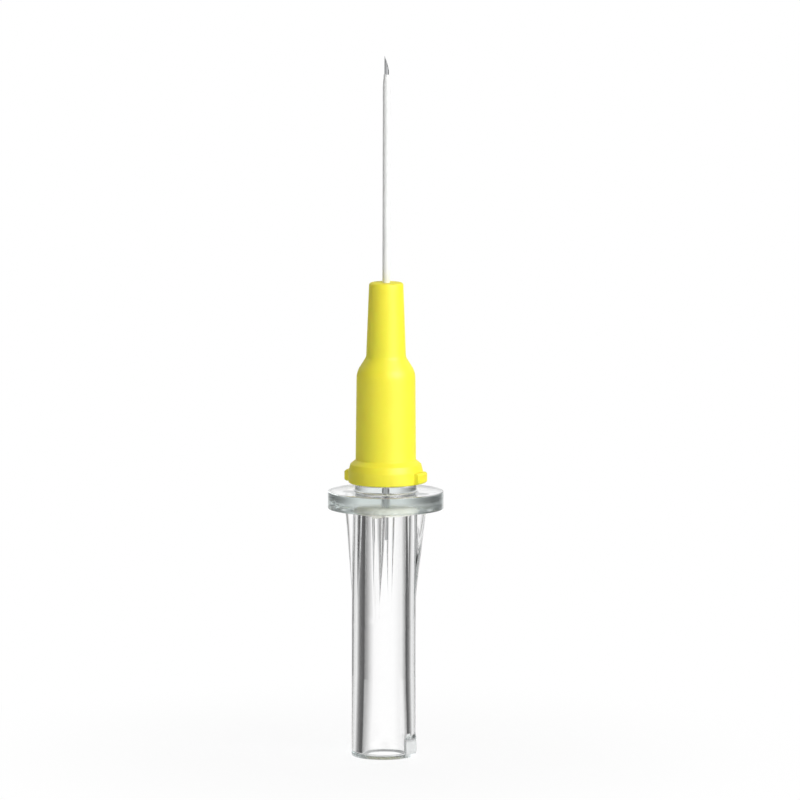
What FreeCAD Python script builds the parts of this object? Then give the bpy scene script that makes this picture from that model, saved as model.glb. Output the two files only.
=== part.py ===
# Pen-type intravenous cannula, small yellow size, at rest on its open rear end.
# A clear moulded hub carries a steel needle, and a soft catheter on a yellow hub slides over that needle.
# All sizes are in millimetres. +Z runs up the axis from the rear end to the needle's tip.
# The origin is the centre of the rear end, and the needle's bevel faces +X.

import FreeCAD, Part
import os

import Sketcher

Vector = FreeCAD.Vector
doc = FreeCAD.newDocument("iv_cannula")

# Driving dimensions

DIMENSIONS = [
    ("barrel_radius", 2.95, "flash chamber, outside radius"),
    ("rear_chamfer", 0.22, "chamfer of the rear end's outer edge"),
    ("socket_radius", 2.15, "rear socket, radius at its mouth"),
    ("socket_depth", 7.3, "rear socket, length of its taper"),
    ("lead_in", 0.3, "chamfer that leads a plug into the rear socket"),
    ("luer_slope", 0.03, "loss of radius for each millimetre along a six percent taper"),
    ("chamber_depth", 23.3, "height of the flash chamber's roof above the rear end"),
    ("chamber_roof_radius", 1.87, "flash chamber, inside radius at its roof"),
    ("roof_chamfer", 0.3, "chamfer inside the chamber's roof"),
    ("flange_height", 23.0, "height of the thumb flange's underside above the rear end"),
    ("flange_thickness", 1.6, "thumb flange, thickness"),
    ("flange_radius", 5.32, "thumb flange, radius"),
    ("flange_chamfer", 0.1, "chamfer of the thumb flange's two rims"),
    ("boss_radius", 2.83, "boss between the flange and the catheter hub, radius"),
    ("boss_length", 0.7, "boss, height above the flange"),
    ("nose_length", 7.5, "tapered nose inside the catheter hub, length"),
    ("nose_chamfer", 0.2, "chamfer of the nose's tip"),
    ("fin_reach", 3.83, "gusset fin, radius where it meets the flange"),
    ("fin_length", 8.25, "gusset fin, drop from the flange to where its slope meets the barrel"),
    ("fin_runout", 1.45, "gusset fin, half length of the curve that eases it into the barrel"),
    ("fin_thickness", 1.0, "gusset fin, thickness under the flange"),
    ("fin_foot_thickness", 0.4, "gusset fin, thickness at its foot"),
    ("fin_count", 4, "gusset fins round the barrel"),
    ("fin_bury", 0.03, "depth by which a fin's foot ends under the barrel's skin"),
    ("wall_root", 0.6, "depth by which fins, lugs and the gate pad are rooted in their wall"),
    ("pad_rise", 0.35, "gate pad, height of its lower edge above the rear end"),
    ("pad_height", 1.7, "gate pad, height"),
    ("pad_proud", 0.16, "gate pad, height above the barrel's skin"),
    ("pad_span", 42, "gate pad, angle that it covers round the barrel"),
    ("pad_turn", -14, "gate pad, angle of its middle from +X"),
    ("pad_slope", 0.5, "gate pad, height of its sloping top"),
    ("needle_radius", 0.205, "needle, outside radius"),
    ("lumen_radius", 0.105, "needle, radius of the hole through it"),
    ("needle_length", 44.57, "needle, length from its tail to its point"),
    ("needle_tail", 3.2, "length of the needle's tail below the chamber's roof"),
    ("bevel_length", 1.4, "needle, length of the ground bevel"),
    ("lancet_length", 0.9, "needle, length of the two side grinds if they crossed the whole tube"),
    ("lancet_turn", 30, "needle, angle by which each side grind turns from the bevel"),
    ("seat_clearance", 0.02, "radial room between the needle and its hole in the hub"),
    ("bond_gap", 0.02, "room between the adhesive and the pieces that it joins"),
    ("bead_depth", 0.9, "adhesive, depth below the chamber's roof at the wall"),
    ("bead_creep", 0.15, "adhesive, how much further down it reaches at the needle than at the wall"),
    ("bead_hollow", 0.35, "adhesive, height of its hollow free surface above its rim at the wall"),
    ("hollow_inner", 0.75, "adhesive, radius where the hollow's flat middle starts"),
    ("hollow_outer", 1.35, "adhesive, radius where the hollow's flat middle ends"),
    ("seat_gap", 0.05, "gap between the boss and the catheter hub's rear face"),
    ("luer_clearance", 0.04, "radial room between the nose and the catheter hub's taper"),
    ("female_radius", 2.15, "catheter hub, radius of its taper at the rear face"),
    ("female_depth", 9.6, "catheter hub, length of its taper"),
    ("mouth_chamfer", 0.15, "catheter hub, chamfer round its rear mouth"),
    ("cup_step", 0.5, "catheter hub, length of the cone between its taper and its throat"),
    ("hub_length", 18.5, "catheter hub, length"),
    ("collar_rear_radius", 3.3, "catheter hub's collar, radius of the rear face"),
    ("collar_radius", 3.42, "catheter hub's collar, largest radius"),
    ("collar_chamfer", 0.28, "catheter hub's collar, height of the cone at its rear edge"),
    ("collar_waist_radius", 3.26, "catheter hub's collar, radius at the foot of its front cone"),
    ("collar_waist", 1.75, "height of that foot above the rear face"),
    ("collar_length", 2.15, "catheter hub's collar, length with its front cone"),
    ("body_rear_radius", 2.78, "catheter hub's body, radius at the collar"),
    ("body_front_radius", 2.7, "catheter hub's body, radius at the shoulder"),
    ("shoulder_foot", 10.25, "height of the shoulder's wide end above the rear face"),
    ("shoulder_head", 11.65, "height of the shoulder's narrow end above the rear face"),
    ("shoulder_crown", 1.9, "rounding of the shoulder's wide end"),
    ("shoulder_root", 0.8, "rounding where the shoulder meets the front tube"),
    ("front_rear_radius", 1.83, "catheter hub's front tube, radius at the shoulder"),
    ("front_radius", 1.57, "catheter hub's front tube, radius at the front face"),
    ("front_chamfer", 0.16, "catheter hub, chamfer of the front face"),
    ("lug_radius", 3.86, "locking lugs, radius"),
    ("lug_rise", 0.08, "height of the lugs above the rear face"),
    ("lug_height", 1.05, "locking lugs, height"),
    ("lug_bevel", 0.16, "bevel of the lugs' outer edges"),
    ("lug_span", 32, "angle that a lug covers round the collar"),
    ("lug_turn", -12, "angle of the first lug's middle from +X"),
    ("lug_count", 2, "locking lugs"),
    ("tube_radius", 0.35, "catheter tube, outside radius"),
    ("tube_wall", 0.105, "catheter tube, wall thickness"),
    ("tube_reach", 19.1, "catheter tube, length in front of its hub"),
    ("tip_radius", 0.27, "catheter tube, outside radius at its tip"),
    ("tip_bore", 0.23, "catheter tube, inside radius at its tip"),
    ("tip_taper", 1.0, "catheter tube, length of the tapered tip"),
    ("grip_length", 1.9, "length of tube that is stretched over the wedge's neck"),
    ("flare_length", 0.8, "length of tube that is spread over the wedge's funnel"),
    ("step_length", 0.35, "length over which the stretched tube returns to its own size"),
    ("wedge_neck_radius", 0.335, "wedge, outside radius of its neck"),
    ("wedge_wall", 0.09, "wedge, thickness of its metal"),
    ("wedge_rim_radius", 1.25, "wedge, outside radius of its funnel's rim"),
    ("wedge_funnel", 2.2, "wedge, length of its funnel"),
    ("wedge_setback", 3.2, "distance from the hub's front face to the foot of the wedge's neck"),
    ("press_gap", 0.015, "room on each side of the tube where the wedge holds it"),
]

sheet = doc.addObject("Spreadsheet::Sheet", "Sizes")
for number, (alias, value, meaning) in enumerate(DIMENSIONS, start=1):
    sheet.set(f"A{number}", meaning)
    sheet.set(f"B{number}", str(value))
    sheet.setAlias(f"B{number}", alias)
doc.recompute()


def size(alias):
    """The plain number that the sheet holds under this alias."""
    return float(sheet.get(alias))


# Heights and radii that follow from the driving dimensions, as expressions on the sheet

AXIS = "0"
REAR = "0"
FLANGE_TOP = "(Sizes.flange_height + Sizes.flange_thickness)"
BOSS_TOP = f"({FLANGE_TOP} + Sizes.boss_length)"
NOSE_TIP = f"({BOSS_TOP} + Sizes.nose_length)"
SOCKET_END_RADIUS = "(Sizes.socket_radius - Sizes.luer_slope * Sizes.socket_depth)"
NEEDLE_TAIL = "(Sizes.chamber_depth - Sizes.needle_tail)"
NEEDLE_TIP = f"({NEEDLE_TAIL} + Sizes.needle_length)"

HUB_REAR = f"({BOSS_TOP} + Sizes.seat_gap)"
HUB_FRONT = f"({HUB_REAR} + Sizes.hub_length)"
NOSE_ROOT_RADIUS = "(Sizes.female_radius - Sizes.luer_clearance + Sizes.luer_slope * Sizes.seat_gap)"
NOSE_TIP_RADIUS = f"({NOSE_ROOT_RADIUS} - Sizes.luer_slope * Sizes.nose_length)"

NECK_FOOT = f"({HUB_FRONT} - Sizes.wedge_setback)"
NECK_TOP = f"({NECK_FOOT} + Sizes.grip_length)"
WEDGE_REAR = f"({NECK_FOOT} - Sizes.wedge_funnel)"
FUNNEL_SLOPE = "((Sizes.wedge_rim_radius - Sizes.wedge_neck_radius) / Sizes.wedge_funnel)"
GRIP_BORE = "(Sizes.wedge_neck_radius + Sizes.press_gap)"
GRIP_RADIUS = f"({GRIP_BORE} + Sizes.tube_wall)"
GRIP_HOLE = f"({GRIP_RADIUS} + Sizes.press_gap)"
FLARE_SPREAD = f"(Sizes.flare_length * {FUNNEL_SLOPE})"
TUBE_TIP = f"({HUB_FRONT} + Sizes.tube_reach)"
TUBE_BORE = "(Sizes.tube_radius - Sizes.tube_wall)"


# Helpers for drawing

def origin_plane(body, role):
    """One of the body's own three origin planes."""
    return next(item for item in body.Origin.OriginFeatures if item.Role == role)


def new_body(name):
    """An empty body, named as its piece is."""
    body = doc.addObject("PartDesign::Body", name)
    body.Label = name
    return body


def new_sketch(body, name, role="XZ_Plane", turn=None):
    """A sketch on an origin plane, turned about the upright axis if an angle is given."""
    sketch = body.newObject("Sketcher::SketchObject", name)
    sketch.AttachmentSupport = [(origin_plane(body, role), "")]
    sketch.MapMode = "FlatFace"
    if turn:
        sketch.AttachmentOffset = FreeCAD.Placement(Vector(0, 0, 0), FreeCAD.Rotation(Vector(0, 1, 0), 1))
        sketch.setExpression("AttachmentOffset.Rotation.Angle", turn)
    return sketch


def bind(sketch, kind, *where, value, expression):
    """Add a dimension to the sketch, starting from its drawn value, and tie it to an expression."""
    index = sketch.addConstraint(Sketcher.Constraint(kind, *where, value))
    sketch.setExpression(f"Constraints[{index}]", expression)


def pin_point(sketch, edge, end, across, up):
    """Hold one end of an edge at a place that two expressions give."""
    drawn = sketch.getPoint(edge, end)
    for kind, value, expression, axis in (
        ("DistanceX", drawn.x, across, -2),
        ("DistanceY", drawn.y, up, -1),
    ):
        if expression == "0":
            sketch.addConstraint(Sketcher.Constraint("PointOnObject", edge, end, axis))
        else:
            bind(sketch, kind, -1, 1, edge, end, value=value, expression=expression)


def draw_outline(sketch, corners):
    """Draw a closed outline of straight edges whose corners are pairs of expressions."""
    count = len(corners)
    spots = [Vector(1 + index % 2, 1 + index, 0) for index in range(count)]
    for index in range(count):
        sketch.addGeometry(Part.LineSegment(spots[index], spots[(index + 1) % count]), False)
    for index in range(count):
        sketch.addConstraint(Sketcher.Constraint("Coincident", index, 2, (index + 1) % count, 1))
    for index, (across, up) in enumerate(corners):
        pin_point(sketch, index, 1, across, up)


def turn_outline(body, name, corners, kind="PartDesign::Revolution"):
    """Turn an outline once round the upright axis, to add it or, with a groove, to cut it."""
    sketch = new_sketch(body, f"{name}_outline")
    draw_outline(sketch, corners)
    feature = body.newObject(kind, name)
    feature.Profile = sketch
    feature.ReferenceAxis = (sketch, ["V_Axis"])
    feature.Angle = 360
    return feature


def turn_sector(body, name, corners, span, turn=None):
    """Turn an outline through part of a circle, half to each side of its sketch."""
    sketch = new_sketch(body, f"{name}_outline", turn=turn)
    draw_outline(sketch, corners)
    feature = body.newObject("PartDesign::Revolution", name)
    feature.Profile = sketch
    feature.ReferenceAxis = (sketch, ["V_Axis"])
    feature.Midplane = True
    feature.setExpression("Angle", span)
    return feature


def repeat_round(body, name, features, count):
    """Repeat features evenly round the upright axis."""
    pattern = body.newObject("PartDesign::PolarPattern", name)
    pattern.Originals = features
    pattern.Axis = (origin_plane_axis(body), [""])
    pattern.Angle = 360
    pattern.setExpression("Occurrences", count)
    body.Tip = pattern
    return pattern


def origin_plane_axis(body):
    """The body's own upright axis."""
    return next(item for item in body.Origin.OriginFeatures if item.Role == "Z_Axis")


def rim_names(shape, radius, height):
    """Names of the full circles round the axis with this radius at this height."""
    names = []
    for number, edge in enumerate(shape.Edges, start=1):
        circle = edge.Curve
        if not isinstance(circle, Part.Circle):
            continue
        centred = abs(circle.Center.x) < 1e-6 and abs(circle.Center.y) < 1e-6
        if centred and abs(circle.Radius - radius) < 1e-5 and abs(circle.Center.z - height) < 1e-5:
            names.append(f"Edge{number}")
    return names


def dress_rims(body, kind, name, amount, *rims):
    """Fillet or chamfer the circular edges that lie at the given radii and heights."""
    doc.recompute()
    base = body.Tip
    names = [found for rim in rims for found in rim_names(base.Shape, *rim)]
    if len(names) != len(rims):
        raise ValueError(f"{name}: {len(names)} rims found, {len(rims)} wanted")
    dressing = body.newObject(f"PartDesign::{kind}", name)
    dressing.Base = (base, names)
    dressing.setExpression("Radius" if kind == "Fillet" else "Size", amount)


# Heights and radii as plain numbers, for finding the rims that are rounded

flange_height = size("flange_height")
flange_top = flange_height + size("flange_thickness")
boss_top = flange_top + size("boss_length")
nose_tip = boss_top + size("nose_length")
hub_rear = boss_top + size("seat_gap")
hub_front = hub_rear + size("hub_length")
nose_root_radius = size("female_radius") - size("luer_clearance") + size("luer_slope") * size("seat_gap")
nose_tip_radius = nose_root_radius - size("luer_slope") * size("nose_length")


# Needle hub: one clear moulding with the chamber, the thumb flange and the tapered nose

needle_hub = new_body("needle_hub")

turn_outline(needle_hub, "hub_blank", [
    (AXIS, REAR),
    ("Sizes.barrel_radius", REAR),
    ("Sizes.barrel_radius", "Sizes.flange_height"),
    ("Sizes.flange_radius", "Sizes.flange_height"),
    ("Sizes.flange_radius", FLANGE_TOP),
    ("Sizes.boss_radius", FLANGE_TOP),
    ("Sizes.boss_radius", BOSS_TOP),
    (NOSE_ROOT_RADIUS, BOSS_TOP),
    (NOSE_TIP_RADIUS, NOSE_TIP),
    (AXIS, NOSE_TIP),
])
dress_rims(
    needle_hub, "Chamfer", "flange_rims", "Sizes.flange_chamfer",
    (size("flange_radius"), flange_height),
    (size("flange_radius"), flange_top),
)
dress_rims(needle_hub, "Chamfer", "rear_rim", "Sizes.rear_chamfer", (size("barrel_radius"), 0))
dress_rims(needle_hub, "Chamfer", "nose_rim", "Sizes.nose_chamfer", (nose_tip_radius, nose_tip))


# Gusset fins: tapered webs that brace the flange, each running out into the barrel on a long curve

FIN_FOOT = "(Sizes.flange_height - Sizes.fin_length - Sizes.fin_runout)"
FIN_BEND = "(Sizes.flange_height - Sizes.fin_length + Sizes.fin_runout)"
FIN_FOOT_RADIUS = "(Sizes.barrel_radius - Sizes.fin_bury)"
FIN_ROOT = "(Sizes.barrel_radius - Sizes.wall_root)"
FIN_OUTSIDE = "(Sizes.fin_reach + Sizes.wall_root)"

fin_front = new_sketch(needle_hub, "fin_front", role="YZ_Plane")
fin_front.setExpression("AttachmentOffset.Base.z", FIN_ROOT)
draw_outline(fin_front, [
    ("(Sizes.fin_foot_thickness / 2)", FIN_FOOT),
    ("(Sizes.fin_thickness / 2)", "Sizes.flange_height"),
    ("(-Sizes.fin_thickness / 2)", "Sizes.flange_height"),
    ("(-Sizes.fin_foot_thickness / 2)", FIN_FOOT),
])
fin = needle_hub.newObject("PartDesign::Pad", "fin")
fin.Profile = fin_front
fin.setExpression("Length", f"Sizes.fin_reach - {FIN_ROOT}")


def fin_slope_outline(body):
    """Draw what is cut off outside a fin: beyond a slope from the flange, then an arc that ends upright."""
    sketch = new_sketch(body, "fin_slope_outline")
    reach = size("fin_reach")
    foot_radius = size("barrel_radius") - size("fin_bury")
    foot = flange_height - size("fin_length") - size("fin_runout")
    bend = foot + 2 * size("fin_runout")
    slope = (reach - foot_radius) / size("fin_length")
    bend_radius = reach - slope * (flange_height - bend)
    outside = reach + size("wall_root")
    middle = Vector(foot_radius + slope * size("fin_runout") / 4, (foot + bend) / 2, 0)
    top_outer = Vector(outside, flange_height, 0)
    top_inner = Vector(reach, flange_height, 0)
    bend_point = Vector(bend_radius, bend, 0)
    low_inner = Vector(foot_radius, foot, 0)
    low_outer = Vector(outside, foot, 0)
    sketch.addGeometry(Part.LineSegment(low_inner, low_outer), False)
    sketch.addGeometry(Part.LineSegment(low_outer, top_outer), False)
    sketch.addGeometry(Part.LineSegment(top_outer, top_inner), False)
    sketch.addGeometry(Part.LineSegment(top_inner, bend_point), False)
    sketch.addGeometry(Part.Arc(bend_point, middle, low_inner), False)
    for edge in range(3):
        sketch.addConstraint(Sketcher.Constraint("Coincident", edge, 2, edge + 1, 1))
    sketch.addConstraint(Sketcher.Constraint("Coincident", 4, 2, 0, 1))
    sketch.addConstraint(Sketcher.Constraint("Tangent", 3, 2, 4, 1))
    sketch.addConstraint(Sketcher.Constraint("Horizontal", 4, 3, 4, 2))
    pin_point(sketch, 0, 1, FIN_FOOT_RADIUS, FIN_FOOT)
    pin_point(sketch, 1, 1, FIN_OUTSIDE, FIN_FOOT)
    pin_point(sketch, 2, 1, FIN_OUTSIDE, "Sizes.flange_height")
    pin_point(sketch, 3, 1, "Sizes.fin_reach", "Sizes.flange_height")
    bind(sketch, "DistanceY", -1, 1, 3, 2, value=bend, expression=FIN_BEND)
    return sketch


fin_slope = needle_hub.newObject("PartDesign::Pocket", "fin_slope")
fin_slope.Profile = fin_slope_outline(needle_hub)
fin_slope.SideType = "Symmetric"
fin_slope.setExpression("Length", "2 * Sizes.fin_thickness")
repeat_round(needle_hub, "fins", [fin, fin_slope], "Sizes.fin_count")


# Gate pad: the low raised patch at the rear end, with a sloping top

PAD_RADIUS = "(Sizes.barrel_radius + Sizes.pad_proud)"
PAD_ROOT = "(Sizes.barrel_radius - Sizes.wall_root)"

turn_sector(needle_hub, "gate_pad", [
    (PAD_ROOT, "Sizes.pad_rise"),
    (PAD_RADIUS, "Sizes.pad_rise"),
    (PAD_RADIUS, "(Sizes.pad_rise + Sizes.pad_height - Sizes.pad_slope)"),
    ("(Sizes.barrel_radius - Sizes.pad_proud)", "(Sizes.pad_rise + Sizes.pad_height + Sizes.pad_slope)"),
    (PAD_ROOT, "(Sizes.pad_rise + Sizes.pad_height + Sizes.pad_slope)"),
], "Sizes.pad_span", turn="Sizes.pad_turn")


# Inside of the hub: rear socket and flash chamber in one cut, then the needle's hole

turn_outline(needle_hub, "chamber", [
    (AXIS, REAR),
    ("(Sizes.socket_radius + Sizes.lead_in)", REAR),
    ("(Sizes.socket_radius - Sizes.luer_slope * Sizes.lead_in)", "Sizes.lead_in"),
    (SOCKET_END_RADIUS, "Sizes.socket_depth"),
    ("Sizes.chamber_roof_radius", "Sizes.chamber_depth"),
    (AXIS, "Sizes.chamber_depth"),
], kind="PartDesign::Groove")
dress_rims(
    needle_hub, "Chamfer", "chamber_roof", "Sizes.roof_chamfer",
    (size("chamber_roof_radius"), size("chamber_depth")),
)

needle_hole_circle = new_sketch(needle_hub, "needle_hole_circle", role="XY_Plane")
needle_hole_circle.addGeometry(Part.Circle(Vector(0, 0, 0), Vector(0, 0, 1), 1), False)
needle_hole_circle.addConstraint(Sketcher.Constraint("Coincident", 0, 3, -1, 1))
bind(needle_hole_circle, "Radius", 0, value=1, expression="Sizes.needle_radius + Sizes.seat_clearance")
needle_hole = needle_hub.newObject("PartDesign::Pocket", "needle_hole")
needle_hole.Profile = needle_hole_circle
needle_hole.Type = "ThroughAll"
needle_hole.Reversed = True


# Needle: a thin steel tube, ground to a bevel and then on both sides to a lancet point

needle = new_body("needle")

turn_outline(needle, "needle_tube", [
    ("Sizes.lumen_radius", NEEDLE_TAIL),
    ("Sizes.needle_radius", NEEDLE_TAIL),
    ("Sizes.needle_radius", NEEDLE_TIP),
    ("Sizes.lumen_radius", NEEDLE_TIP),
])


def grind(body, name, length, tip_across, turn=None):
    """Cut the tube along a slanting plane that starts at its point and drops by length across it."""
    slope = f"({length} / (2 * Sizes.needle_radius))"
    before = f"({tip_across} - Sizes.needle_radius)"
    beyond = "(2 * Sizes.needle_radius)"
    raised = f"({NEEDLE_TIP} + Sizes.needle_radius * {slope})"
    dropped = f"({NEEDLE_TIP} - ({beyond} - {tip_across}) * {slope})"
    sketch = new_sketch(body, f"{name}_outline", turn=turn)
    draw_outline(sketch, [(before, raised), (beyond, dropped), (beyond, raised)])
    cut = body.newObject("PartDesign::Pocket", name)
    cut.Profile = sketch
    cut.SideType = "Symmetric"
    cut.setExpression("Length", "4 * Sizes.needle_radius")
    return cut


LANCET_ACROSS = "(-Sizes.needle_radius * cos(Sizes.lancet_turn * 1 deg))"

grind(needle, "bevel", "Sizes.bevel_length", "(-Sizes.needle_radius)")
grind(needle, "lancet_left", "Sizes.lancet_length", LANCET_ACROSS, turn="Sizes.lancet_turn")
grind(needle, "lancet_right", "Sizes.lancet_length", LANCET_ACROSS, turn="-Sizes.lancet_turn")


# Adhesive: the cured pool under the chamber's roof that holds the needle; it creeps down the needle and the wall

needle_adhesive = new_body("needle_adhesive")

BEAD_BORE = "(Sizes.needle_radius + Sizes.bond_gap)"
BEAD_RADIUS = "(Sizes.chamber_roof_radius - Sizes.bond_gap)"
BEAD_TOP = "(Sizes.chamber_depth - Sizes.bond_gap)"
BEAD_RIM = "(Sizes.chamber_depth - Sizes.bead_depth)"

turn_outline(needle_adhesive, "bead", [
    (BEAD_BORE, f"({BEAD_RIM} - Sizes.bead_creep)"),
    ("Sizes.hollow_inner", f"({BEAD_RIM} + Sizes.bead_hollow)"),
    ("Sizes.hollow_outer", f"({BEAD_RIM} + Sizes.bead_hollow)"),
    (BEAD_RADIUS, BEAD_RIM),
    (BEAD_RADIUS, f"({BEAD_TOP} - Sizes.roof_chamfer)"),
    (f"({BEAD_RADIUS} - Sizes.roof_chamfer)", BEAD_TOP),
    (BEAD_BORE, BEAD_TOP),
])


# Catheter hub: the yellow moulding, with a collar, two locking lugs, a shoulder and a front tube

catheter_hub = new_body("catheter_hub")

COLLAR_TOP = f"({HUB_REAR} + Sizes.collar_length)"
SHOULDER_FOOT = f"({HUB_REAR} + Sizes.shoulder_foot)"
SHOULDER_HEAD = f"({HUB_REAR} + Sizes.shoulder_head)"

turn_outline(catheter_hub, "catheter_hub_blank", [
    (AXIS, HUB_REAR),
    ("Sizes.collar_rear_radius", HUB_REAR),
    ("Sizes.collar_radius", f"({HUB_REAR} + Sizes.collar_chamfer)"),
    ("Sizes.collar_radius", f"({HUB_REAR} + Sizes.lug_rise + Sizes.lug_height)"),
    ("Sizes.collar_waist_radius", f"({HUB_REAR} + Sizes.collar_waist)"),
    ("Sizes.body_rear_radius", COLLAR_TOP),
    ("Sizes.body_front_radius", SHOULDER_FOOT),
    ("Sizes.front_rear_radius", SHOULDER_HEAD),
    ("Sizes.front_radius", HUB_FRONT),
    (AXIS, HUB_FRONT),
])
dress_rims(
    catheter_hub, "Fillet", "shoulder_crown", "Sizes.shoulder_crown",
    (size("body_front_radius"), hub_rear + size("shoulder_foot")),
)
dress_rims(
    catheter_hub, "Fillet", "shoulder_root", "Sizes.shoulder_root",
    (size("front_rear_radius"), hub_rear + size("shoulder_head")),
)
dress_rims(catheter_hub, "Chamfer", "front_rim", "Sizes.front_chamfer", (size("front_radius"), hub_front))

LUG_REAR = f"({HUB_REAR} + Sizes.lug_rise)"
LUG_TOP = f"({LUG_REAR} + Sizes.lug_height)"
LUG_ROOT = "(Sizes.collar_radius - Sizes.wall_root)"

lug = turn_sector(catheter_hub, "lug", [
    (LUG_ROOT, LUG_REAR),
    ("(Sizes.lug_radius - Sizes.lug_bevel)", LUG_REAR),
    ("Sizes.lug_radius", f"({LUG_REAR} + Sizes.lug_bevel)"),
    ("Sizes.lug_radius", f"({LUG_TOP} - Sizes.lug_bevel)"),
    ("(Sizes.lug_radius - Sizes.lug_bevel)", LUG_TOP),
    (LUG_ROOT, LUG_TOP),
], "Sizes.lug_span", turn="Sizes.lug_turn")
repeat_round(catheter_hub, "lugs", [lug], "Sizes.lug_count")


# Inside of the catheter hub: tapered socket, throat, conical seat for the wedge, and the tube's hole

FEMALE_END = f"({HUB_REAR} + Sizes.female_depth)"
SEAT_GROWTH = "(Sizes.tube_wall + 2 * Sizes.press_gap)"
THROAT_RADIUS = f"(Sizes.wedge_rim_radius + {SEAT_GROWTH})"

turn_outline(catheter_hub, "socket", [
    (AXIS, HUB_REAR),
    ("(Sizes.female_radius + Sizes.mouth_chamfer)", HUB_REAR),
    ("(Sizes.female_radius - Sizes.luer_slope * Sizes.mouth_chamfer)", f"({HUB_REAR} + Sizes.mouth_chamfer)"),
    ("(Sizes.female_radius - Sizes.luer_slope * Sizes.female_depth)", FEMALE_END),
    (THROAT_RADIUS, f"({FEMALE_END} + Sizes.cup_step)"),
    (THROAT_RADIUS, WEDGE_REAR),
    (GRIP_HOLE, NECK_FOOT),
    (GRIP_HOLE, f"({NECK_TOP} + Sizes.press_gap)"),
    ("(Sizes.tube_radius + Sizes.press_gap)", f"({NECK_TOP} + Sizes.step_length)"),
    ("(Sizes.tube_radius + Sizes.press_gap)", HUB_FRONT),
    (AXIS, HUB_FRONT),
], kind="PartDesign::Groove")


# Catheter tube: soft fluoropolymer, spread and stretched over the wedge, with a tapered tip

catheter_tube = new_body("catheter_tube")

FLARE_REAR = f"({NECK_FOOT} - Sizes.flare_length)"
TAPER_START = f"({TUBE_TIP} - Sizes.tip_taper)"

turn_outline(catheter_tube, "tube", [
    (f"({GRIP_BORE} + {FLARE_SPREAD})", FLARE_REAR),
    (f"({GRIP_RADIUS} + {FLARE_SPREAD})", FLARE_REAR),
    (GRIP_RADIUS, NECK_FOOT),
    (GRIP_RADIUS, NECK_TOP),
    ("Sizes.tube_radius", f"({NECK_TOP} + Sizes.step_length)"),
    ("Sizes.tube_radius", TAPER_START),
    ("Sizes.tip_radius", TUBE_TIP),
    ("Sizes.tip_bore", TUBE_TIP),
    (TUBE_BORE, TAPER_START),
    (TUBE_BORE, f"({NECK_TOP} + Sizes.step_length)"),
    (GRIP_BORE, f"({NECK_TOP} + Sizes.press_gap)"),
    (GRIP_BORE, NECK_FOOT),
])


# Wedge: the drawn steel funnel inside the catheter hub that clamps the tube in its seat

catheter_wedge = new_body("catheter_wedge")

turn_outline(catheter_wedge, "wedge", [
    ("(Sizes.wedge_rim_radius - Sizes.wedge_wall)", WEDGE_REAR),
    ("Sizes.wedge_rim_radius", WEDGE_REAR),
    ("Sizes.wedge_neck_radius", NECK_FOOT),
    ("Sizes.wedge_neck_radius", NECK_TOP),
    ("(Sizes.wedge_neck_radius - Sizes.wedge_wall)", NECK_TOP),
    ("(Sizes.wedge_neck_radius - Sizes.wedge_wall)", NECK_FOOT),
])


# Checks, then one file for each piece

doc.recompute()
PIECES = [needle_hub, needle, needle_adhesive, catheter_hub, catheter_tube, catheter_wedge]

for item in doc.Objects:
    if "Invalid" in item.State or "Error" in item.State:
        raise ValueError(f"{item.Name} failed: {item.State}")

for piece in PIECES:
    cuts = [item for item in piece.Group if item.TypeId in ("PartDesign::Pocket", "PartDesign::Groove")]
    for cut in cuts:
        if cut.Shape.Volume > cut.BaseFeature.Shape.Volume - 1e-6:
            raise ValueError(f"{cut.Name} cuts nothing")
    if piece.Shape.isNull() or not piece.Shape.isValid() or len(piece.Shape.Solids) != 1:
        raise ValueError(f"{piece.Label} is not one sound solid")

os.makedirs("parts", exist_ok=True)
for piece in PIECES:
    piece.Shape.exportStep(f"parts/{piece.Label}.step")
    box = piece.Shape.BoundBox
    print(f"{piece.Label}: {piece.Shape.Volume:.3f} mm3, z {box.ZMin:.2f} to {box.ZMax:.2f}, x to {box.XMax:.2f}")
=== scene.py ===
# %% [markdown]
# # A pen-type intravenous cannula
# The real thing is four visible mouldings and tubes on one axis: a clear hub with a thumb flange, a
# steel needle glued into it, a yellow hub that slides off forwards, and the soft white tube that the
# yellow hub holds. Every one of them is turned or moulded round that axis, so this lesson draws half
# a section for each piece, carries it round the axis as one closed grid, and gives it the finish of
# its real material.

# %% Load the fixed frame
import math

import bpy
import numpy as np
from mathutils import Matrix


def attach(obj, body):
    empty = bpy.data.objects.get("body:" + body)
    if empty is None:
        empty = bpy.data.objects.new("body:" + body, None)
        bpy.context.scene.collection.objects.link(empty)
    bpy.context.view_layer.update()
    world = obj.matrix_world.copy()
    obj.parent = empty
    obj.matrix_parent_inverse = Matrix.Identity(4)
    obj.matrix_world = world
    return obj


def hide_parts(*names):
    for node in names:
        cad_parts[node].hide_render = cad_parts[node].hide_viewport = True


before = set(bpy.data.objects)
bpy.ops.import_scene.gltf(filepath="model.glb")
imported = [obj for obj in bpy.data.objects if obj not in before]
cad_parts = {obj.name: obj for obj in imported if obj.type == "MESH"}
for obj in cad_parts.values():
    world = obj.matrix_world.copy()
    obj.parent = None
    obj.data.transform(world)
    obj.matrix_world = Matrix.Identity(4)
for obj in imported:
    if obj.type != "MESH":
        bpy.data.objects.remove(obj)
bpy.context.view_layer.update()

MM = 0.001

# %% [markdown]
# ## Where the camera stands
# The photograph looks at the object from just above and from a little to one side of a gusset, and
# its upright edges stay parallel, so it was taken from far away with a long lens. A camera aimed at a
# point on the object, at that turn and height, is easier to match than one placed by hand: only two
# angles, a distance and the width of the view are needed, and each can be measured in the picture.

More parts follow.
